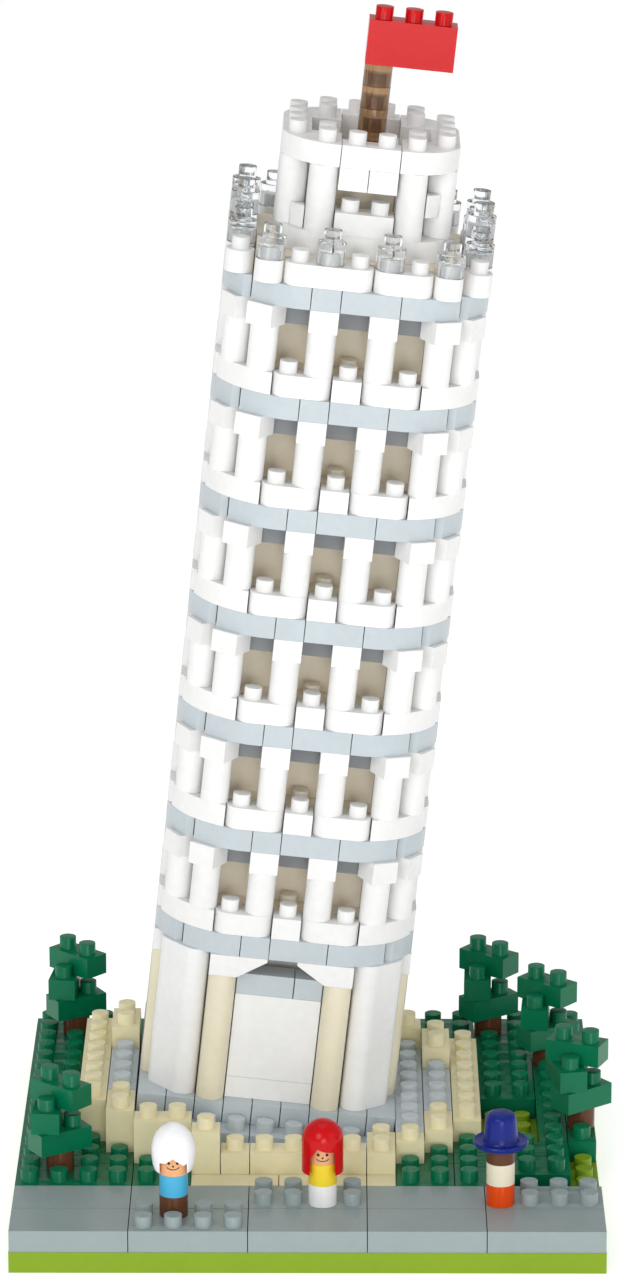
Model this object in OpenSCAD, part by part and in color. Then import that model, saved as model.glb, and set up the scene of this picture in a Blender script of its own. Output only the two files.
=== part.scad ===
// Leaning bell tower souvenir, built from micro bricks on a 20 x 20 stud plate.
// Front is -Y, up is +Z, the origin is the middle of the base plate's underside.

/* [Brick system] */
// Stud pitch: the width of a one-stud brick and its gap
pitch = 4; // [3.8:0.05:4.2]
// Height of one course of bricks
course_h = 3.06; // [3:0.02:3.2]
// Diameter of a stud
stud_d = 2.4; // [2.2:0.05:2.4]
// Height of a stud
stud_h = 1.65; // [1.4:0.05:1.8]
// Gap between neighbouring bricks
side_gap = 0.12; // [0.1:0.02:0.2]
// Wall thickness of a hollow brick
brick_wall = 0.68; // [0.55:0.01:0.7]
// Diameter of the round one-stud bricks
round_d = 3.84; // [3.7:0.02:3.86]

/* [Base] */
// Thickness of the base plate
plate_h = 2.95; // [2.6:0.05:3.4]
// Thickness of the base plate's skin
plate_skin = 1.2; // [1:0.1:1.4]

/* [Tower] */
// Lean of the tower to the right
lean_deg = 6.08; // [5.9:0.02:6.14]
// Number of arcaded storeys
storeys = 6; // [2:1:8]
// Courses of the ground floor, between foot and first band
ground_courses = 7; // [5:1:9]
// Turn of the capitals at the tower's corners
capital_turn = 30; // [20:1:40]
// Length of the flag in studs
flag_studs = 3; // [2:1:4]

/* [Trees and figures] */
// Turn of every tree's lower brick
tree_turn = 0; // [-20:1:20]
// Diameter of the blue hat's brim
brim_d = 7.5; // [6.5:0.1:7.6]

/* [Hidden] */
$fn = 48;
plate_studs = 20;
storey_courses = 5;
seat_gap = 0.02;
socket_d = stud_d + 0.1;
socket_h = stud_h + 0.15;
tower_half = 4.5;
belfry_half = 3;
corner_r = 3 * pitch + 0.1;
pit_right = 3 * pitch;
pit_level = plate_h + course_h;
tower_y = 2.5 * pitch;
pivot_gap = 0.35;
wall_gap = 0.3;
foot_reach = tower_half * pitch - side_gap / 2;
first_band = 1 + ground_courses;
crown_course = first_band + storeys * storey_courses + 1;
belfry_course = crown_course + 1;
flag_course = belfry_course + 8;
corner_column = [11.7, 15.2] * pitch / 4;
pillar_at = 13.4 * pitch / 4;

// ---- colours ----
white = [0.93, 0.93, 0.92];
light_grey = [0.78, 0.82, 0.84];
paving_grey = [0.55, 0.6, 0.61];
beige = [0.88, 0.84, 0.68];
green = [0.02, 0.42, 0.28];
lime = [0.62, 0.74, 0.22];
brown = [0.33, 0.17, 0.1];
red = [0.8, 0.06, 0.08];
blue = [0.16, 0.2, 0.55];
orange = [0.82, 0.27, 0.08];
sky = [0.45, 0.72, 0.85];
yellow = [0.93, 0.8, 0.2];
skin = [0.9, 0.68, 0.45];
clear = [0.85, 0.88, 0.9, 0.4];
smoke = [0.35, 0.22, 0.13, 0.7];

// ---- brick parts; x, y, w and d count studs, k and n count courses ----

module at_course(k) {
    translate([0, 0, k * course_h])
        children();
}

module stud(x, y, top) {
    translate([x * pitch, y * pitch, top - 0.3])
        cylinder(d = stud_d, h = stud_h + 0.3);
}

module block(x, y, w, d, h) {
    translate([x * pitch + side_gap / 2, y * pitch + side_gap / 2, 0])
        cube([w * pitch - side_gap, d * pitch - side_gap, h - seat_gap]);
}

module socket(x, y, w, d) {
    inset = side_gap / 2 + brick_wall;
    translate([x * pitch + inset, y * pitch + inset, -1])
        cube([w * pitch - 2 * inset, d * pitch - 2 * inset, socket_h + 1]);
}

module studs_on(x, y, w, d, h) {
    for (i = [0 : w - 1], j = [0 : d - 1])
        stud(x + i + 0.5, y + j + 0.5, h - seat_gap);
}

// a square-cornered brick, hollow below, with studs unless it is a tile
module brick(x, y, w, d, k, n = 1, studs = true) {
    at_course(k) {
        difference() {
            block(x, y, w, d, n * course_h);
            socket(x, y, w, d);
        }
        if (studs)
            studs_on(x, y, w, d, n * course_h);
    }
}

// a round one-stud brick centred on x, y in millimetres
module round_brick(x, y, k, n = 1, stud = true) {
    at_course(k) translate([x, y, 0]) {
        difference() {
            cylinder(d = round_d, h = n * course_h - seat_gap);
            translate([0, 0, -1])
                cylinder(d = socket_d, h = socket_h + 1);
        }
        if (stud)
            stud(0, 0, n * course_h - seat_gap);
    }
}

// a one-deep brick with rounded ends and a round-ended hollow
module round_end_brick(x, y, w, k, n = 1, studs = true) {
    r = (pitch - side_gap) / 2;
    left = x * pitch + side_gap / 2 + r;
    right = (x + w) * pitch - side_gap / 2 - r;
    at_course(k) {
        difference() {
            union() {
                translate([left, y * pitch + side_gap / 2, 0])
                    cube([right - left, 2 * r, n * course_h - seat_gap]);
                for (end = [left, right])
                    translate([end, (y + 0.5) * pitch, 0])
                        cylinder(r = r, h = n * course_h - seat_gap);
            }
            translate([(x + 0.5) * pitch, (y + 0.5) * pitch - socket_d / 2, -1])
                cube([(w - 1) * pitch, socket_d, socket_h + 1]);
            for (i = [0.5, w - 0.5])
                translate([(x + i) * pitch, (y + 0.5) * pitch, -1])
                    cylinder(d = socket_d, h = socket_h + 1);
        }
        if (studs)
            studs_on(x, y, w, 1, n * course_h);
    }
}

// what lies within radius r of a corner's centre, kept c studs from both axes
module in_corner(c, r) {
    intersection() {
        children();
        translate([-c * pitch, -c * pitch, -2 * course_h])
            cylinder(r = r, h = 4 * course_h, $fn = 96);
    }
}

module four_sides() {
    for (a = [0 : 90 : 270])
        rotate(a)
            children();
}

// the tower's own frame: z = 0 under the foot, x = y = 0 on its axis
module leaning() {
    translate([pit_right - wall_gap, tower_y, pit_level + pivot_gap])
        rotate([0, lean_deg, 0])
            translate([-foot_reach, 0, 0])
                children();
}

// ---- base ----

module base_plate() color(lime) {
    side = plate_studs * pitch;
    open = [[6, -2, 2, 4], [9, -6, 1, 4], [7, -6, 2, 1]];
    difference() {
        translate([-side / 2, -side / 2, 0])
            cube([side, side, plate_h]);
        translate([-side / 2 + 1.2, -side / 2 + 1.2, -1])
            cube([side - 2.4, side - 2.4, plate_h - plate_skin + 1]);
    }
    for (c = [-8 : 4 : 8], s = [-8 : 4 : 8])
        translate([c * pitch, s * pitch, 0])
            cylinder(d = 3.2, h = plate_h - plate_skin + 0.3);
    for (o = open)
        studs_on(o[0], o[1], o[2], o[3], plate_h + seat_gap);
}

// five 4-stud columns of paving, front and back halves studded or smooth
module pavement() color(paving_grey) {
    front_studs = [false, true, false, false, false];
    back_studs = [false, false, true, false, true];
    translate([0, 0, plate_h])
        for (b = [0 : 4]) {
            brick(-10 + 4 * b, -10, 4, 2, 0, studs = front_studs[b]);
            brick(-10 + 4 * b, -8, 4, 2, 0, studs = back_studs[b]);
        }
}

// green bricks one course high: x, y, w, d in studs
garden_bricks = [
    [-10, -6, 4, 2], [-6, -6, 2, 2], [3, -6, 2, 2],
    [5, -6, 2, 2], [7, -5, 2, 2], [5, -4, 2, 1], [4, -4, 1, 1], [5, -3, 2, 1], [7, -3, 2, 1],
    [-10, -4, 4, 1], [-10, -3, 3, 1], [-10, -2, 2, 4], [-10, 2, 2, 4],
    [8, -2, 1, 4], [9, -2, 1, 4], [6, 2, 2, 4], [8, 2, 2, 4],
    [4, 5, 1, 1], [-7, 5, 1, 1],
    [-10, 6, 4, 2], [-10, 8, 4, 2], [-6, 7, 3, 3], [-3, 7, 3, 3], [0, 7, 3, 3],
    [3, 6, 3, 4], [6, 6, 4, 2], [6, 8, 4, 2]];

module garden() color(green) {
    translate([0, 0, plate_h])
        for (g = garden_bricks)
            brick(g[0], g[1], g[2], g[3], 0);
}

// kerb walls: x, y, w, d in studs, then the number of courses
beige_kerbs = [
    [-8, -2, 1, 4, 3], [-8, 2, 1, 4, 3], [-7, -3, 1, 2, 3], [-7, 3, 1, 2, 4],
    [-6, -4, 2, 1, 3], [-4, -5, 1, 1, 3],
    [-3, -5, 1, 1, 2], [-2, -5, 4, 1, 2], [2, -5, 1, 2, 2],
    [3, -4, 1, 1, 2], [3, 5, 1, 1, 3], [4, -3, 1, 2, 2], [4, 3, 1, 2, 3],
    [5, -2, 1, 4, 2], [5, 2, 1, 4, 2]];
grey_kerbs = [
    [-7, -1, 1, 4, 3], [-4, -4, 2, 1, 1], [-2, -4, 4, 1, 1],
    [3, -3, 1, 4, 2], [3, 1, 1, 4, 2], [4, -1, 1, 4, 2]];
// smooth beige tiles along the front kerb: first stud and width
step_tiles = [[-4, 3], [-1, 3], [2, 1]];

module kerb(list) {
    translate([0, 0, plate_h])
        for (b = list)
            brick(b[0], b[1], b[2], b[3], 0, b[4]);
}

module kerb_beige() color(beige) {
    kerb(beige_kerbs);
    translate([0, 0, plate_h])
        for (t = step_tiles)
            brick(t[0], -6, t[1], 1, 0, studs = false);
}

module kerb_grey() color(light_grey) kerb(grey_kerbs);

// the course under the foot's left side that makes the tower lean
module prop_bricks() color(light_grey) {
    translate([0, 0, plate_h])
        for (j = [-2, 2])
            brick(-5, j, 1, 4, 0, studs = false);
}

// ---- tower ----

// plates under the foot, one stud deeper at the front: first stud and width
foot_plates = [[-3.5, 3], [-0.5, 3], [2.5, 2]];

module foot_plate() color(light_grey) leaning()
    for (p = foot_plates) {
        brick(p[0], -5.5, p[1], 2, -1);
        brick(p[0], -3.5, p[1], 8, -1, studs = false);
    }

module foot_tiles() color(light_grey) leaning() {
    for (x = [-4.5 : 3.5], y = [-4.5, 2.5])
        brick(x, y, 1, 2, 0, studs = false);
    for (x = [-4.5 : 3 : 1.5])
        brick(x, -2.5, 3, 5, 0, studs = false);
}

// a 2 x 2 brick rounded to the tower's outline, in the front left corner
module corner_brick(k) {
    at_course(k)
        in_corner(1.5, corner_r)
            difference() {
                block(-4.5, -4.5, 2, 2, course_h);
                in_corner(1.5, corner_r - brick_wall)
                    socket(-4.5, -4.5, 2, 2);
            }
}

// tall round-ended pillars, set slantwise at the corners
module ground_corners() color(white) leaning()
    four_sides()
        translate([-pillar_at, -pillar_at, 0])
            rotate(-45)
                round_end_brick(-1, -0.5, 2, 1, ground_courses, studs = false);

module ground_columns() color(beige) leaning()
    four_sides()
        for (x = [-2, 2])
            round_brick(x * pitch, -4 * pitch, 1, ground_courses - 1, stud = false);

// a corbel two studs wide at the top and one at the bottom
module corbel() {
    lip = 0.5;
    translate([-2.5 * pitch + side_gap / 2, -4.5 * pitch + side_gap / 2, 0])
        rotate([90, 0, 0])
            mirror([0, 0, 1])
                linear_extrude(pitch - side_gap)
                    polygon([[0, 0], [pitch - side_gap, 0],
                        [2 * pitch - side_gap, course_h - lip],
                        [2 * pitch - side_gap, course_h - seat_gap],
                        [0, course_h - seat_gap]]);
}

module corbels() color(white) leaning()
    four_sides()
        at_course(ground_courses)
            for (m = [0, 1])
                mirror([m, 0, 0])
                    corbel();

// door panels, set half a stud back between the beige columns
module door_walls() color(white) leaning()
    four_sides() {
        brick(-1.5, -4, 3, 1, 1, studs = false);
        brick(-1.5, -4, 3, 1, 2, ground_courses - 3, studs = false);
    }

module door_lintels() color(light_grey) leaning()
    four_sides() {
        brick(-1.5, -4, 2, 1, ground_courses - 1, studs = false);
        brick(0.5, -4, 1, 1, ground_courses - 1, studs = false);
    }

// the square drum inside the ground floor
module ground_core() color(white) leaning()
    at_course(1)
        difference() {
            block(-2.5, -2.5, 5, 5, ground_courses * course_h);
            translate([-1.5 * pitch, -1.5 * pitch, -1])
                cube([3 * pitch, 3 * pitch, (ground_courses - 1) * course_h + 1]);
        }

// the left end brick of a grey band, rounded to the tower's outline
module band_end() {
    in_corner(1.5, corner_r)
        difference() {
            block(-3.5, -4.5, 2, 1, course_h);
            translate([-2 * pitch, -4 * pitch, -1])
                cylinder(d = socket_d, h = socket_h + 1);
        }
    stud(-2, -4, course_h - seat_gap);
}

// one side of a grey band: end, single, double and end brick
module band_side(k) {
    at_course(k)
        for (m = [0, 1])
            mirror([m, 0, 0])
                band_end();
    brick(-1.5, -4.5, 1, 1, k);
    brick(-0.5, -4.5, 2, 1, k);
}

module grey_bands() color(light_grey) leaning()
    for (s = [0 : storeys])
        four_sides()
            band_side(first_band + s * storey_courses);

// one side of a storey's white ring, with its corner brick and column studs
module ring_side(k) {
    corner_brick(k);
    for (p = [corner_column, [corner_column[1], corner_column[0]]])
        stud(-p[0] / pitch, -p[1] / pitch, (k + 1) * course_h - seat_gap);
    round_end_brick(-2.5, -4.5, 2, k);
    brick(-0.5, -4.5, 1, 1, k);
    round_end_brick(0.5, -4.5, 2, k);
}

module white_rings() color(white) leaning()
    for (s = [0 : storeys - 1])
        four_sides()
            ring_side(first_band + s * storey_courses + 1);

module columns() color(white) leaning()
    for (s = [0 : storeys - 1])
        four_sides() {
            k = first_band + s * storey_courses + 2;
            for (x = [-1, 1])
                round_brick(x * pitch, -4 * pitch, k, 2);
            for (p = [corner_column, [corner_column[1], corner_column[0]]])
                round_brick(-p[0], -p[1], k, 2);
        }

module capitals() color(white) leaning()
    for (s = [0 : storeys - 1])
        four_sides() {
            k = first_band + s * storey_courses + 4;
            for (x = [-1.5, 0.5])
                brick(x, -4.5, 1, 1, k);
            translate([-corner_column[0], -corner_column[1], 0])
                rotate(-capital_turn)
                    brick(-0.5, -0.5, 1, 1, k, studs = false);
            translate([-corner_column[1], -corner_column[0], 0])
                rotate(capital_turn - 90)
                    brick(-0.5, -0.5, 1, 1, k, studs = false);
        }

// bars behind the capitals that carry the next floor
module inner_beams() color(light_grey) leaning()
    for (s = [0 : storeys - 1])
        four_sides()
            brick(-2.5, -3.5, 5, 1, first_band + s * storey_courses + 4, studs = false);

// floor behind a band and a ring; the floor's cross fits between the corner bricks
module storey_floor(wall_h) {
    difference() {
        union() {
            block(-3.5, -3.5, 7, 7, course_h);
            block(-2.5, -3.5, 5, 7, 2 * course_h);
            block(-3.5, -2.5, 7, 5, 2 * course_h);
            if (wall_h > 0)
                block(-2.5, -2.5, 5, 5, wall_h);
        }
        translate([-1.5 * pitch, -1.5 * pitch, -1])
            cube([3 * pitch, 3 * pitch, wall_h + 2]);
    }
    if (wall_h > 0)
        four_sides()
            stud(0, -3, 2 * course_h - seat_gap);
}

module storey_cores() color(white) leaning() {
    for (s = [0 : storeys - 1])
        at_course(first_band + s * storey_courses)
            storey_floor(storey_courses * course_h);
    at_course(first_band + storeys * storey_courses)
        storey_floor(0);
}

// ---- crown, belfry and flag ----

module crown_ring() color(white) leaning()
    four_sides() {
        k = crown_course;
        round_brick(-3 * pitch, -4 * pitch, k);
        round_end_brick(-2.5, -4.5, 3, k);
        round_end_brick(0.5, -4.5, 2, k);
        round_brick(3 * pitch, -4 * pitch, k);
    }

// clear round bricks standing on the crown: x, y in studs and how many
post_places = [[-3, 1], [-1, 1], [1, 1], [3, 1]];
side_posts = [[-2, 1], [-1, 2], [1, 2], [2, 1]];

module clear_posts() color(clear) leaning() {
    for (s = [-4, 4], p = post_places)
        for (k = [1 : p[1]])
            round_brick(p[0] * pitch, s * pitch, crown_course + k);
    for (s = [-4, 4], p = side_posts)
        for (k = [1 : p[1]])
            round_brick(s * pitch, p[0] * pitch, crown_course + k);
}

module belfry_corner(k) {
    at_course(k)
        in_corner(1, 2 * pitch + 0.1)
            difference() {
                block(-3, -3, 2, 2, course_h);
                in_corner(1, 2 * pitch - 0.4)
                    socket(-3, -3, 2, 2);
            }
}

module belfry_base() color(white) leaning()
    four_sides() {
        belfry_corner(belfry_course);
        brick(-1, -3, 2, 1, belfry_course, studs = false);
        for (p = [[1.5, 2.5], [2.5, 1.5]])
            stud(-p[0], -p[1], (belfry_course + 1) * course_h - seat_gap);
    }

module belfry_columns() color(white) leaning()
    four_sides()
        for (p = [[1.5, 2.5], [2.5, 1.5]])
            round_brick(-p[0] * pitch, -p[1] * pitch, belfry_course + 1, 3);

// low parapet bricks in the openings, posts behind the columns, webs between them
module belfry_fill() color(white) leaning() {
    four_sides() {
        brick(-1, -3, 2, 1, belfry_course + 1);
        for (k = [1 : 3])
            brick(-2, -2, 1, 1, belfry_course + k);
    }
    for (w = [[0, 1], [90, 2], [180, 1], [270, 2]])
        rotate(w[0])
            at_course(belfry_course + w[1])
                in_corner(1, 1.8 * pitch)
                    block(-3, -3, 1, 1, course_h);
}

module belfry_ring() color(white) leaning()
    four_sides() {
        k = belfry_course + 4;
        belfry_corner(k);
        for (p = [[1.5, 2.5], [2.5, 1.5], [1.5, 1.5]])
            stud(-p[0], -p[1], (k + 1) * course_h - seat_gap);
        brick(-1, -3, 1, 1, k - 1, studs = false);
        brick(0, -3, 1, 1, k - 1, studs = false);
        brick(-1, -3, 2, 1, k);
    }

// beige stack inside the belfry that carries the pole
module belfry_core() color(beige) leaning()
    for (k = [0 : 3])
        brick(-1, -1, 2, 2, belfry_course + k, studs = false);

module pole() color(smoke) leaning()
    for (k = [4 : 7])
        round_brick(0, 0, belfry_course + k);

module flag() color(red) leaning()
    brick(-0.5, -0.5, flag_studs, 1, flag_course, 2);

// ---- trees: place of the trunk, then the turns of the lower, middle and upper brick ----

trees = [
    [[-34, 34], [30, 83, -43]],
    [[-34, -18], [32, 86, -40]],
    [[26, 34], [34, 88, -38]],
    [[34, 22], [31, 86, -40]],
    [[38, -2], [38, 102, -24]]];

module on_garden(t) {
    translate([t[0][0] * pitch / 4, t[0][1] * pitch / 4, plate_h])
        children();
}

module tree_trunks() color(brown)
    for (t = trees)
        on_garden(t)
            round_brick(0, 0, 1);

// three crossed bricks: the lower is centred on the trunk, the middle stands on its
// front stud and the upper on the middle one's back stud
module tree_leaves(t) {
    turn = t[1];
    on_garden(t)
        rotate(turn[0] + tree_turn) {
            brick(-1, -0.5, 2, 1, 2);
            translate([-pitch / 2, 0, 0])
                rotate(turn[1] - turn[0]) {
                    brick(-0.5, -0.5, 2, 1, 3);
                    translate([pitch, 0, 0])
                        rotate(turn[2] - turn[1])
                            brick(-0.5, -0.5, 2, 1, 4);
                }
        }
}

module tree_left_back() color(green) tree_leaves(trees[0]);

module tree_left_front() color(green) tree_leaves(trees[1]);

module tree_right_back() color(green) tree_leaves(trees[2]);

module tree_right_middle() color(green) tree_leaves(trees[3]);

module tree_right_front() color(green) tree_leaves(trees[4]);

// ---- visitors: round one-stud bricks standing on the pavement ----

visitor_a_at = [-4.5, -8.5];
visitor_b_at = [0.5, -7.5];
visitor_c_at = [6.5, -7.5];
head_gap = 0.1;

module visitor(at) {
    translate([at[0] * pitch, at[1] * pitch, plate_h])
        children();
}

module visitor_part(at, k) {
    visitor(at)
        round_brick(0, 0, k);
}

// clears the head, its stud and a chin depth of torso out of a hair piece or hat
module head_space(chin) {
    translate([0, 0, -chin - 1])
        cylinder(d = round_d + 2 * head_gap, h = course_h + chin + 1 + seat_gap);
    cylinder(d = socket_d, h = course_h + socket_h);
}

// opens the front of a hair piece over the face; points are [x, z]
module face_opening(points) {
    rotate([90, 0, 0])
        linear_extrude(4)
            polygon(points);
}

// the head's own frame: z = 0 at the chin
module on_torso(at) {
    visitor(at)
        at_course(3)
            children();
}

module visitor_a_legs() color(brown) visitor_part(visitor_a_at, 1);

module visitor_a_torso() color(sky) visitor_part(visitor_a_at, 2);

module visitor_a_head() color(skin) visitor_part(visitor_a_at, 3);

// bushy egg of hair, open over the face
module visitor_a_hair() color(white)
    on_torso(visitor_a_at)
        difference() {
            rotate_extrude($fn = 64)
                polygon([[0, 0.15], [2.1, 0.15], [2.55, 0.5], [2.8, 1.3], [2.95, 2.6],
                    [2.95, 3.8], [2.7, 4.8], [2.3, 5.6], [1.7, 6.3], [1, 6.8], [0.4, 7.05],
                    [0, 7.1]]);
            head_space(0);
            face_opening([[-1.8, -1], [1.85, -1], [1.85, 2.05], [1.4, 1.85], [0.03, 3],
                [-1, 2.25], [-1.8, 2.15]]);
        }

module visitor_b_legs() color(white) visitor_part(visitor_b_at, 1);

module visitor_b_torso() color(yellow) visitor_part(visitor_b_at, 2);

module visitor_b_head() color(skin) visitor_part(visitor_b_at, 3);

// smooth bob, open under a fringe
module visitor_b_hair() color(red)
    on_torso(visitor_b_at)
        difference() {
            union() {
                rotate_extrude($fn = 64) {
                    translate([0, -1.3])
                        square([2.82, 4.5]);
                    intersection() {
                        translate([0, 3.2])
                            circle(r = 2.82, $fn = 64);
                        translate([0, 3.1])
                            square([3, 3]);
                    }
                }
            }
            head_space(1.5);
            face_opening([[-1.75, -2], [1.7, -2], [1.7, 1.95], [1.4, 2.15], [0.6, 2.2],
                [-0.2, 2.45], [-0.66, 2.7], [-1.1, 2], [-1.75, 1.25]]);
        }

module visitor_c_legs() color(orange) visitor_part(visitor_c_at, 1);

module visitor_c_torso() color(beige) visitor_part(visitor_c_at, 2);

module visitor_c_head() color(brown) visitor_part(visitor_c_at, 3);

// round hat: a curled brim and a crown that narrows upwards
module visitor_c_hat() color(blue)
    on_torso(visitor_c_at)
        difference() {
            rotate_extrude($fn = 64)
                polygon([[0, 2], [2.3, 2], [3.2, 2.2], [brim_d / 2 - 0.15, 2.6],
                    [brim_d / 2, 2.85], [brim_d / 2 - 0.15, 3.15], [3.1, 2.95], [2.5, 2.95],
                    [2.35, 3.3], [2.1, 6.1], [1.95, 6.6], [1.6, 6.95], [1, 7.1], [0, 7.1]]);
            head_space(0);
        }

// ---- which node is drawn ----

base_plate();
pavement();
garden();
kerb_beige();
kerb_grey();
prop_bricks();
foot_plate();
foot_tiles();
ground_corners();
ground_columns();
corbels();
door_walls();
door_lintels();
ground_core();
grey_bands();
white_rings();
columns();
capitals();
inner_beams();
storey_cores();
crown_ring();
clear_posts();
belfry_base();
belfry_columns();
belfry_fill();
belfry_ring();
belfry_core();
pole();
flag();
tree_trunks();
tree_left_back();
tree_left_front();
tree_right_back();
tree_right_middle();
tree_right_front();
visitor_a_legs();
visitor_a_torso();
visitor_a_head();
visitor_a_hair();
visitor_b_legs();
visitor_b_torso();
visitor_b_head();
visitor_b_hair();
visitor_c_legs();
visitor_c_torso();
visitor_c_head();
visitor_c_hat();
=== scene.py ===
"""Looks of the leaning bell tower model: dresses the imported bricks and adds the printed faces."""

import math

import bpy
from bpy.props import FloatProperty, FloatVectorProperty, PointerProperty
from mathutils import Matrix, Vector


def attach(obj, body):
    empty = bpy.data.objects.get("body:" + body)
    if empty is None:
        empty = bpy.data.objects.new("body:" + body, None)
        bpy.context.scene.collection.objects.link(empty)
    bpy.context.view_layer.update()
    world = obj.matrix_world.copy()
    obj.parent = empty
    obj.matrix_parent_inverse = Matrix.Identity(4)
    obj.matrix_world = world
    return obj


bl_info = {
    "name": "Leaning bell tower",
    "version": (1, 0, 0),
    "blender": (4, 5, 0),
    "location": "3D View > Sidebar > Bell tower",
    "description": "Finishes the micro brick bell tower and sets its stage",
    "category": "Object",
}

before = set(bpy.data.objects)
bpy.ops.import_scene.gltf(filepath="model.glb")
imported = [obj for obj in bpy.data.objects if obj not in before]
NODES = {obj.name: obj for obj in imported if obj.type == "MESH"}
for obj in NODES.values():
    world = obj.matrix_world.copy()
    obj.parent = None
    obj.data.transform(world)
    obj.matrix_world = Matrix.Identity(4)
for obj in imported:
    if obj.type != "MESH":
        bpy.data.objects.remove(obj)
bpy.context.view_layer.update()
MM = 0.001

PLATE_H = 2.95 * MM
COURSE_H = 3.06 * MM
HEAD_R = 1.92 * MM
CHIN = PLATE_H + 3 * COURSE_H  # the underside of every head

WELD_GAP = 0.002 * MM
EDGE_ANGLE = math.radians(35)

# The print on a head, in millimetres across from its middle and up from its chin.
EYE_ACROSS, EYE_HEIGHT, EYE_R = 0.6, 0.93, 0.2
NOSE_HEIGHT, NOSE_R = 0.5, 0.14
SMILE_ACROSS, SMILE_TOP = 0.88, 0.6
SMILE_MIDDLE, SMILE_R, SMILE_HALF_WIDTH = 1.45, 1.43, 0.06
# The shell that the print is cut from; it starts a little below the chin line.
PRINT_VERTICES = 400
PRINT_STEP = 0.03 * MM
PRINT_RINGS = 44
PRINT_BELOW = 3 * PRINT_STEP

# finish name: (colour, what it is on)
FINISHES = {
    "white": ((0.86, 0.86, 0.85), "Tower bricks"),
    # inner: a warm tint that paints the warm shade of the arcades' recesses into these bricks'
    # colour
    "inner": ((0.92, 0.83, 0.67), "Inner bricks behind the arcades, tinted with painted warm shade"),
    "light_grey": ((0.53, 0.59, 0.62), "Bands, foot and walks"),
    "paving": ((0.3, 0.36, 0.36), "Pavement"),
    "beige": ((0.83, 0.76, 0.49), "Kerbs and ground columns"),
    "cream": ((0.82, 0.76, 0.58), "Ground columns and cream torso"),
    # beam: light grey beams darkened to paint the shade that falls under the bands
    "beam": ((0.24, 0.25, 0.26), "Beams behind the capitals, darkened with painted shade"),
    "green": ((0.0, 0.16, 0.07), "Garden and trees"),
    "lime": ((0.22, 0.345, 0.012), "Base plate"),
    "brown": ((0.12, 0.045, 0.02), "Trunks and brown bricks"),
    "red": ((0.58, 0.0, 0.002), "Flag and red hair"),
    "blue": ((0.004, 0.015, 0.2), "Hat"),
    "orange": ((0.76, 0.07, 0.003), "Orange legs"),
    "sky": ((0.07, 0.43, 0.68), "Light blue torso"),
    "yellow": ((0.88, 0.66, 0.03), "Yellow torso"),
    "skin": ((0.8, 0.42, 0.2), "Faces"),
    "hair": ((0.92, 0.92, 0.94), "White hair"),
    "print": ((0.03, 0.01, 0.008), "Printed eyes and smiles"),
    "clear": ((0.95, 0.97, 0.98), "Clear posts"),
    "smoke": ((0.42, 0.24, 0.11), "Flag pole"),
}


def colour_property(name):
    colour, what = FINISHES[name]
    return FloatVectorProperty(name=what, description="Colour of: " + what.lower(),
                               default=colour, subtype="COLOR", size=3, min=0.0, max=1.0)


class BellTowerColours(bpy.types.PropertyGroup):
    __annotations__ = {name: colour_property(name) for name in FINISHES}


class BellTowerSizes(bpy.types.PropertyGroup):
    edge: FloatProperty(name="Edge radius", description="Radius of the bricks' moulded edges",
                        default=0.06 * MM, unit="LENGTH", precision=5)
    print_height: FloatProperty(name="Print height",
                                description="How far the faces' print stands out",
                                default=0.02 * MM, unit="LENGTH", precision=5)


# ---- shader node groups ----

# noise: (scale, detail)
TONE_DRIFT = (160.0, 1.0)
FLOW_MARKS = (900.0, 4.0)
SCRATCHES = (2200.0, 5.0)
WAVINESS = (420.0, 2.0)

WAVE_DEPTH = 0.4 * MM
# Painted shade on clear plastic where its surface turns away: the layer weight's blend, and the
# facing where it starts and ends.
RIM_BLEND, RIM_START, RIM_END = 0.35, 0.25, 0.9
SUBSURFACE_COLOURS = (1.0, 0.85, 0.7)
SUBSURFACE_DEPTH = 0.9 * MM
CLEAR_LOOKS = {"tone": 0.0, "scuffs": 0.02, "ior": 1.49, "specular": 0.5}

def new_group(name, inputs, outputs):
    """A shader node group with the given (name, socket type, default) sockets."""
    group = bpy.data.node_groups.new(name, "ShaderNodeTree")
    for label, kind, default in inputs:
        socket = group.interface.new_socket(name=label, in_out="INPUT", socket_type=kind)
        if default is not None:
            socket.default_value = default
    for label, kind in outputs:
        group.interface.new_socket(name=label, in_out="OUTPUT", socket_type=kind)
    return group, group.nodes.new("NodeGroupInput"), group.nodes.new("NodeGroupOutput")


def noise(group, vector, scale, detail):
    """A noise node over a vector."""
    node = group.nodes.new("ShaderNodeTexNoise")
    node.inputs["Scale"].default_value = scale
    node.inputs["Detail"].default_value = detail
    group.links.new(vector, node.inputs["Vector"])
    return node.outputs["Fac"]


def remap(group, value, low, high, to_low, to_high):
    """Maps low..high of a value onto to_low..to_high, clamped."""
    node = group.nodes.new("ShaderNodeMapRange")
    group.links.new(value, node.inputs["Value"])
    for label, number in (("From Min", low), ("From Max", high),
                          ("To Min", to_low), ("To Max", to_high)):
        node.inputs[label].default_value = number
    return node.outputs["Result"]


def multiply_add(group, value, factor, addend):
    """value * factor + addend, where the factor is a socket and the addend one or a number."""
    node = group.nodes.new("ShaderNodeMath")
    node.operation = "MULTIPLY_ADD"
    group.links.new(value, node.inputs[0])
    group.links.new(factor, node.inputs[1])
    if isinstance(addend, (int, float)):
        node.inputs[2].default_value = addend
    else:
        group.links.new(addend, node.inputs[2])
    return node.outputs[0]


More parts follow.
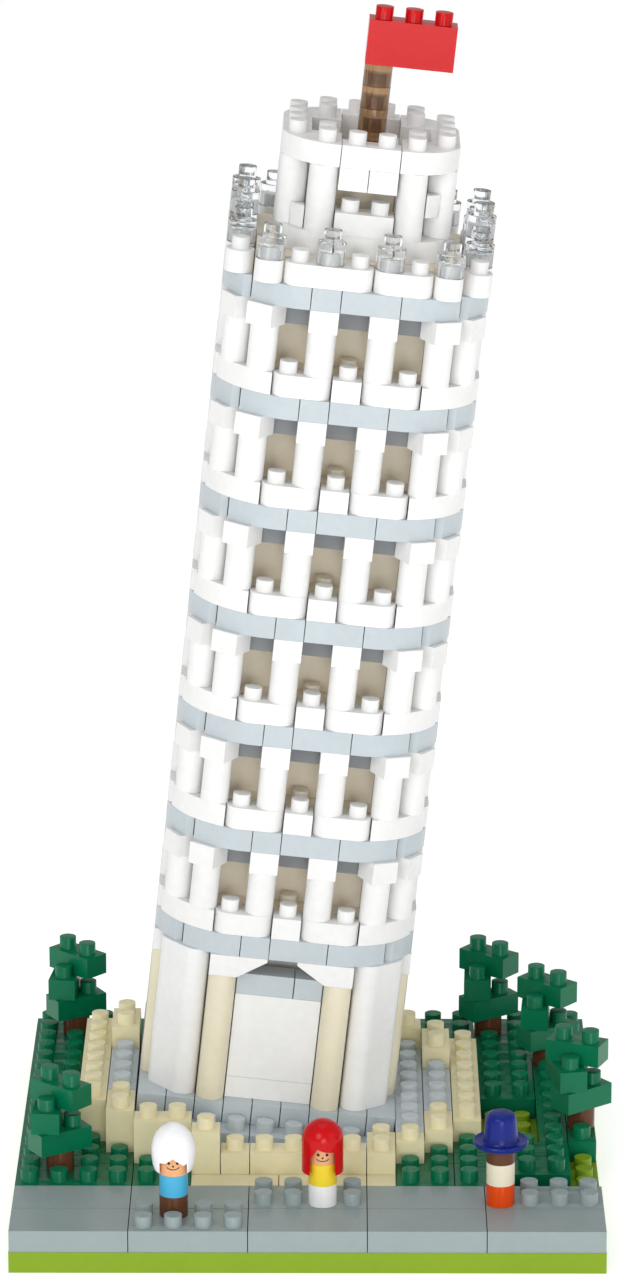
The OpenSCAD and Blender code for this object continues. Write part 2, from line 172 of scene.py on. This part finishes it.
def build_tone_group():
    """Slow drifts of tone across a piece and faint flow marks in the plastic."""
    group, inp, out = new_group(
        "Moulding tone",
        [("Vector", "NodeSocketVector", None), ("Color", "NodeSocketColor", (0.8, 0.8, 0.8, 1.0)),
         ("Amount", "NodeSocketFloat", 0.05)],
        [("Color", "NodeSocketColor")])
    drift = noise(group, inp.outputs["Vector"], *TONE_DRIFT)
    flow = noise(group, inp.outputs["Vector"], *FLOW_MARKS)
    mix = group.nodes.new("ShaderNodeMath")
    mix.operation = "ADD"
    group.links.new(drift, mix.inputs[0])
    group.links.new(flow, mix.inputs[1])
    spread = remap(group, mix.outputs[0], 0.7, 1.3, -1.0, 1.0)
    brightness = multiply_add(group, spread, inp.outputs["Amount"], 1.0)
    tint = group.nodes.new("ShaderNodeHueSaturation")
    group.links.new(inp.outputs["Color"], tint.inputs["Color"])
    group.links.new(brightness, tint.inputs["Value"])
    group.links.new(tint.outputs["Color"], out.inputs["Color"])
    return group


def build_skin_group():
    """The moulded skin: fine waviness, hairline scuffs and the roughness that goes with them."""
    group, inp, out = new_group(
        "Moulded skin",
        [("Vector", "NodeSocketVector", None), ("Roughness", "NodeSocketFloat", 0.3),
         ("Scuffs", "NodeSocketFloat", 0.05), ("Wave", "NodeSocketFloat", 0.05)],
        [("Roughness", "NodeSocketFloat"), ("Normal", "NodeSocketVector")])
    stretch = group.nodes.new("ShaderNodeMapping")
    stretch.inputs["Scale"].default_value = (1.0, 1.0, 9.0)
    stretch.inputs["Rotation"].default_value = (0.5, 0.3, 0.4)
    group.links.new(inp.outputs["Vector"], stretch.inputs["Vector"])
    scratches = noise(group, stretch.outputs["Vector"], *SCRATCHES)
    scuff = remap(group, scratches, 0.62, 0.8, 0.0, 1.0)
    wave = noise(group, inp.outputs["Vector"], *WAVINESS)
    rough = multiply_add(group, scuff, inp.outputs["Scuffs"], inp.outputs["Roughness"])
    bump = group.nodes.new("ShaderNodeBump")
    bump.inputs["Distance"].default_value = WAVE_DEPTH
    group.links.new(inp.outputs["Wave"], bump.inputs["Strength"])
    group.links.new(wave, bump.inputs["Height"])
    group.links.new(rough, out.inputs["Roughness"])
    group.links.new(bump.outputs["Normal"], out.inputs["Normal"])
    return group


def shared_group(name):
    """The named node group, built on first use."""
    if name not in bpy.data.node_groups:
        {"Moulding tone": build_tone_group, "Moulded skin": build_skin_group}[name]()
    return bpy.data.node_groups[name]


def painted_rim_shade(tree, colour, amount):
    """Paints shade into a clear plastic's colour where its surface turns away."""
    if not amount:
        return colour
    layer = tree.nodes.new("ShaderNodeLayerWeight")
    layer.inputs["Blend"].default_value = RIM_BLEND
    fade = remap(tree, layer.outputs["Facing"], RIM_START, RIM_END, 1.0, 1.0 - amount)
    tint = tree.nodes.new("ShaderNodeHueSaturation")
    tree.links.new(colour, tint.inputs["Color"])
    tree.links.new(fade, tint.inputs["Value"])
    return tint.outputs["Color"]


def plastic(finish, roughness=0.28, tone=0.03, scuffs=0.12, wave=0.05, subsurface=0.0,
            transmission=0.0, ior=1.53, specular=0.22, rim=0.0):
    """A moulded plastic of one of the finishes; the first call for a finish sets its looks."""
    name = "moulded_" + finish
    if name in bpy.data.materials:
        return bpy.data.materials[name]
    material = bpy.data.materials.new(name)
    material.use_nodes = True
    tree = material.node_tree
    shader = tree.nodes["Principled BSDF"]
    colour = (*getattr(bpy.context.scene.bell_tower_colours, finish), 1.0)
    place = tree.nodes.new("ShaderNodeTexCoord")
    tint = tree.nodes.new("ShaderNodeGroup")
    tint.node_tree = shared_group("Moulding tone")
    tint.inputs["Color"].default_value = colour
    tint.inputs["Amount"].default_value = tone
    skin = tree.nodes.new("ShaderNodeGroup")
    skin.node_tree = shared_group("Moulded skin")
    skin.inputs["Roughness"].default_value = roughness
    skin.inputs["Scuffs"].default_value = scuffs
    skin.inputs["Wave"].default_value = wave
    for node in (tint, skin):
        tree.links.new(place.outputs["Object"], node.inputs["Vector"])
    # clear plastics get painted shade at the edges that turn away
    tree.links.new(painted_rim_shade(tree, tint.outputs["Color"], rim), shader.inputs["Base Color"])
    tree.links.new(skin.outputs["Roughness"], shader.inputs["Roughness"])
    tree.links.new(skin.outputs["Normal"], shader.inputs["Normal"])
    shader.inputs["IOR"].default_value = ior
    shader.inputs["Specular IOR Level"].default_value = specular
    shader.inputs["Transmission Weight"].default_value = transmission
    if subsurface:
        shader.inputs["Subsurface Weight"].default_value = subsurface
        shader.inputs["Subsurface Radius"].default_value = SUBSURFACE_COLOURS
        shader.inputs["Subsurface Scale"].default_value = SUBSURFACE_DEPTH
    return material


# ---- pieces ----

def soften_edges(piece, width):
    """Live weld, bevel and smooth shading: a moulded edge radius on every brick edge."""
    weld = piece.modifiers.new("Weld", "WELD")
    weld.merge_threshold = WELD_GAP
    bevel = piece.modifiers.new("Moulded edge", "BEVEL")
    bevel.width = width
    bevel.segments = 2
    bevel.limit_method = "ANGLE"
    bevel.angle_limit = EDGE_ANGLE
    bevel.use_clamp_overlap = True
    even = piece.modifiers.new("Even normals", "WEIGHTED_NORMAL")
    even.mode = "FACE_AREA"
    even.weight = 100
    for face in piece.data.polygons:
        face.use_smooth = True


def dress(names, material):
    """Gives CAD nodes a material and moulded edges."""
    edge = bpy.context.scene.bell_tower_sizes.edge
    for name in names:
        piece = NODES[name]
        piece.data.materials.clear()
        piece.data.materials.append(material)
        soften_edges(piece, edge)


def in_print(across, height):
    """Whether a place on the front of a head is printed; both measures are in millimetres."""
    eyes = math.hypot(abs(across) - EYE_ACROSS, height - EYE_HEIGHT) < EYE_R
    nose = math.hypot(across, height - NOSE_HEIGHT) < NOSE_R
    off_smile = abs(math.hypot(across, height - SMILE_MIDDLE) - SMILE_R)
    smile = abs(across) < SMILE_ACROSS and height < SMILE_TOP and off_smile < SMILE_HALF_WIDTH
    return eyes or nose or smile


def printed_face(name, middle, lift):
    """Eyes, nose and smile in raised print: a shell round the head, cut down to the marks."""
    bpy.ops.object.select_all(action="DESELECT")
    bpy.context.tool_settings.mesh_select_mode = (True, False, False)
    bpy.ops.mesh.primitive_circle_add(vertices=PRINT_VERTICES, radius=HEAD_R, fill_type="NOTHING",
                                      location=(*middle, CHIN + lift - PRINT_BELOW))
    piece = bpy.context.object
    piece.name = name
    bpy.ops.object.mode_set(mode="EDIT")
    for _ in range(PRINT_RINGS):
        bpy.ops.mesh.extrude_region_move(TRANSFORM_OT_translate={"value": (0, 0, PRINT_STEP)})
    bpy.ops.object.mode_set(mode="OBJECT")
    mesh = piece.data
    inward = 0
    for face in mesh.polygons:
        place = face.center
        across = math.atan2(place.x, -place.y) * HEAD_R / MM
        face.select = not in_print(across, (place.z - PRINT_BELOW) / MM)
        inward += face.normal.x * place.x + face.normal.y * place.y < 0
    bpy.context.tool_settings.mesh_select_mode = (False, False, True)
    bpy.ops.object.mode_set(mode="EDIT")
    bpy.ops.mesh.delete(type="FACE")
    if inward > len(mesh.polygons) / 2:
        bpy.ops.mesh.select_all(action="SELECT")
        bpy.ops.mesh.flip_normals()
    bpy.ops.object.mode_set(mode="OBJECT")
    bpy.ops.object.transform_apply(location=True, rotation=True, scale=True)
    wall = piece.modifiers.new("Print", "SOLIDIFY")
    wall.thickness = bpy.context.scene.bell_tower_sizes.print_height
    wall.offset = 1.0
    bpy.ops.object.modifier_apply(modifier="Print")
    piece.data.materials.append(plastic("print", roughness=0.4, tone=0.0, scuffs=0.0))
    return piece


class BELLTOWER_OT_base(bpy.types.Operator):
    """Finish the base plate, pavement, garden and kerbs"""
    bl_idname = "bell_tower.base"
    bl_label = "Base and garden"

    def execute(self, context):
        dress(["base_plate"], plastic("lime", roughness=0.35))
        dress(["pavement"], plastic("paving", roughness=0.3))
        dress(["garden"], plastic("green", roughness=0.28, tone=0.06))
        dress(["kerb_beige"], plastic("beige", roughness=0.32, subsurface=0.1))
        dress(["kerb_grey", "prop_bricks", "foot_plate", "foot_tiles"],
              plastic("light_grey", roughness=0.3))
        return {"FINISHED"}


class BELLTOWER_OT_ground_floor(bpy.types.Operator):
    """Finish the ground floor's corners, columns, doors and corbels"""
    bl_idname = "bell_tower.ground_floor"
    bl_label = "Ground floor"

    def execute(self, context):
        dress(["ground_corners", "corbels", "door_walls", "ground_core"],
              plastic("white", roughness=0.3))
        dress(["ground_columns"], plastic("cream"))
        dress(["door_lintels"], plastic("light_grey"))
        return {"FINISHED"}


class BELLTOWER_OT_arcades(bpy.types.Operator):
    """Finish the bands, rings, columns and capitals of the storeys"""
    bl_idname = "bell_tower.arcades"
    bl_label = "Arcaded storeys"

    def execute(self, context):
        dress(["grey_bands"], plastic("light_grey"))
        # the beams' dark grey is painted shade under the bands
        dress(["inner_beams"], plastic("beam"))
        dress(["white_rings", "columns", "capitals"], plastic("white"))
        # the storey cores' warm tint is painted shade
        dress(["storey_cores"], plastic("inner", roughness=0.45))
        return {"FINISHED"}


class BELLTOWER_OT_belfry(bpy.types.Operator):
    """Finish the crown, its clear posts and the belfry"""
    bl_idname = "bell_tower.belfry"
    bl_label = "Crown and belfry"

    def execute(self, context):
        dress(["crown_ring", "belfry_base", "belfry_columns", "belfry_fill", "belfry_ring"],
              plastic("white"))
        # the belfry core's warm tint is painted shade
        dress(["belfry_core"], plastic("inner"))
        # the clear posts carry painted shade at their turned-away edges
        dress(["clear_posts"],
              plastic("clear", roughness=0.03, wave=0.02, transmission=1.0, rim=0.45,
                      **CLEAR_LOOKS))
        return {"FINISHED"}


class BELLTOWER_OT_flag(bpy.types.Operator):
    """Finish the flag and its pole"""
    bl_idname = "bell_tower.flag"
    bl_label = "Flag and pole"

    def execute(self, context):
        # the pole carries painted shade at its turned-away edges
        dress(["pole"],
              plastic("smoke", roughness=0.08, transmission=0.85, rim=0.6, **CLEAR_LOOKS))
        dress(["flag"], plastic("red", roughness=0.22))
        return {"FINISHED"}


class BELLTOWER_OT_trees(bpy.types.Operator):
    """Finish the trees' trunks and leaves"""
    bl_idname = "bell_tower.trees"
    bl_label = "Trees"

    def execute(self, context):
        dress(["tree_trunks"], plastic("brown"))
        dress([name for name in NODES if name.startswith("tree_") and name != "tree_trunks"],
              plastic("green", roughness=0.28, tone=0.06))
        return {"FINISHED"}


# visitor's part: its finish
VISITOR_FINISHES = {
    "a_legs": "brown", "a_torso": "sky", "a_head": "skin", "a_hair": "hair",
    "b_legs": "white", "b_torso": "yellow", "b_head": "skin", "b_hair": "red",
    "c_legs": "orange", "c_torso": "cream", "c_head": "brown", "c_hat": "blue",
}
HAIR_WAVE = 0.5
# visitor: (middle of its head, how far its print's chin line lies above CHIN), in millimetres
FACES = {"a": ((-18, -34), 1.02), "b": ((2, -30), 0.62)}


class BELLTOWER_OT_visitors(bpy.types.Operator):
    """Finish the three visitors"""
    bl_idname = "bell_tower.visitors"
    bl_label = "Visitors"

    def execute(self, context):
        plastic("hair", wave=HAIR_WAVE)
        for part, finish in VISITOR_FINISHES.items():
            dress(["visitor_" + part], plastic(finish))
        return {"FINISHED"}


class BELLTOWER_OT_faces(bpy.types.Operator):
    """Print plain faces on two of the visitors' heads"""
    bl_idname = "bell_tower.faces"
    bl_label = "Printed faces"

    def execute(self, context):
        for letter, (middle, lift) in FACES.items():
            piece = printed_face(f"visitor_{letter}_face", [c * MM for c in middle], lift * MM)
            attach(piece, f"visitor_{letter}_head_body")
        return {"FINISHED"}


# ---- stage ----

FLOOR_SIZE = 6.0
STAGE_GLOW = 0.5

# light: (place, height of its target on the tower, width, watts)
LIGHTS = {
    "key": ((-0.3, -0.65, 0.45), 0.08, 0.4, 1.4),
    "front": ((0.1, -0.95, 0.12), 0.06, 0.4, 2.1),
    "fill": ((0.6, -0.45, 0.3), 0.08, 0.6, 0.5),
    "top": ((0.0, 0.1, 0.8), 0.08, 0.6, 0.6),
}

# FOCAL_RATIO is the focal length over the view's longer side; the camera's turns are in radians.
SENSOR_WIDTH = 36.0
FOCAL_RATIO = 5717.2 / 1280.0
CAMERA_PLACE = (3.43 * MM, -746.42 * MM, 304.70 * MM)
CAMERA_DOWN, CAMERA_LEFT = 0.2969, 0.0039


def area_light(name, place, target_height, size, watts):
    """A soft white area light at a place, turned to a height above the plate's middle."""
    lamp = bpy.data.lights.new(name, "AREA")
    lamp.shape = "DISK"
    lamp.size = size
    lamp.energy = watts
    target = Vector((0.0, 0.0, target_height))
    holder = bpy.data.objects.new(name, lamp)
    holder.location = place
    holder.rotation_euler = (target - Vector(place)).to_track_quat("-Z", "Y").to_euler()
    bpy.context.scene.collection.objects.link(holder)


class BELLTOWER_OT_stage(bpy.types.Operator):
    """Set the pale floor, the soft lights and the camera"""
    bl_idname = "bell_tower.stage"
    bl_label = "Stage"

    def execute(self, context):
        bpy.ops.mesh.primitive_plane_add(size=FLOOR_SIZE, location=(0.0, 0.0, 0.0))
        floor = context.active_object
        floor.name = "floor"
        paper = bpy.data.materials.new("paper")
        paper.use_nodes = True
        inputs = paper.node_tree.nodes["Principled BSDF"].inputs
        inputs["Base Color"].default_value = (0.92, 0.92, 0.92, 1.0)
        inputs["Roughness"].default_value = 0.9
        inputs["Emission Color"].default_value = (1.0, 1.0, 1.0, 1.0)
        inputs["Emission Strength"].default_value = STAGE_GLOW
        floor.data.materials.append(paper)

        world = bpy.data.worlds.new("studio")
        world.use_nodes = True
        inputs = world.node_tree.nodes["Background"].inputs
        inputs["Color"].default_value = (1.0, 1.0, 1.0, 1.0)
        inputs["Strength"].default_value = STAGE_GLOW
        context.scene.world = world
        for name, setting in LIGHTS.items():
            area_light(name, *setting)

        lens = bpy.data.cameras.new("camera")
        lens.sensor_width = SENSOR_WIDTH
        lens.lens = FOCAL_RATIO * SENSOR_WIDTH
        lens.clip_start = 0.05
        lens.clip_end = 20.0
        camera = bpy.data.objects.new("camera", lens)
        context.scene.collection.objects.link(camera)
        camera.location = CAMERA_PLACE
        camera.rotation_mode = "XYZ"
        camera.rotation_euler = (math.pi / 2 - CAMERA_DOWN, 0.0, CAMERA_LEFT)
        context.scene.camera = camera
        context.scene.view_settings.view_transform = "Standard"
        return {"FINISHED"}


class BELLTOWER_PT_panel(bpy.types.Panel):
    """Lists the bell tower's pieces"""
    bl_idname = "BELLTOWER_PT_panel"
    bl_label = "Bell tower"
    bl_space_type = "VIEW_3D"
    bl_region_type = "UI"
    bl_category = "Bell tower"

    def draw(self, context):
        for operator in OPERATORS:
            self.layout.operator(operator.bl_idname)
        for group in (context.scene.bell_tower_sizes, context.scene.bell_tower_colours):
            for name in group.__annotations__:
                self.layout.prop(group, name)


OPERATORS = (BELLTOWER_OT_base, BELLTOWER_OT_ground_floor, BELLTOWER_OT_arcades,
             BELLTOWER_OT_belfry, BELLTOWER_OT_flag, BELLTOWER_OT_trees, BELLTOWER_OT_visitors,
             BELLTOWER_OT_faces, BELLTOWER_OT_stage)
CLASSES = (BellTowerColours, BellTowerSizes, *OPERATORS, BELLTOWER_PT_panel)


def register():
    for cls in CLASSES:
        bpy.utils.register_class(cls)
    bpy.types.Scene.bell_tower_colours = PointerProperty(type=BellTowerColours)
    bpy.types.Scene.bell_tower_sizes = PointerProperty(type=BellTowerSizes)


def unregister():
    del bpy.types.Scene.bell_tower_sizes
    del bpy.types.Scene.bell_tower_colours
    for cls in reversed(CLASSES):
        bpy.utils.unregister_class(cls)


def main():
    register()
    bpy.ops.object.select_all(action="DESELECT")
    for operator in OPERATORS:
        group, name = operator.bl_idname.split(".")
        getattr(getattr(bpy.ops, group), name)()


if __name__ == "__main__":
    main()
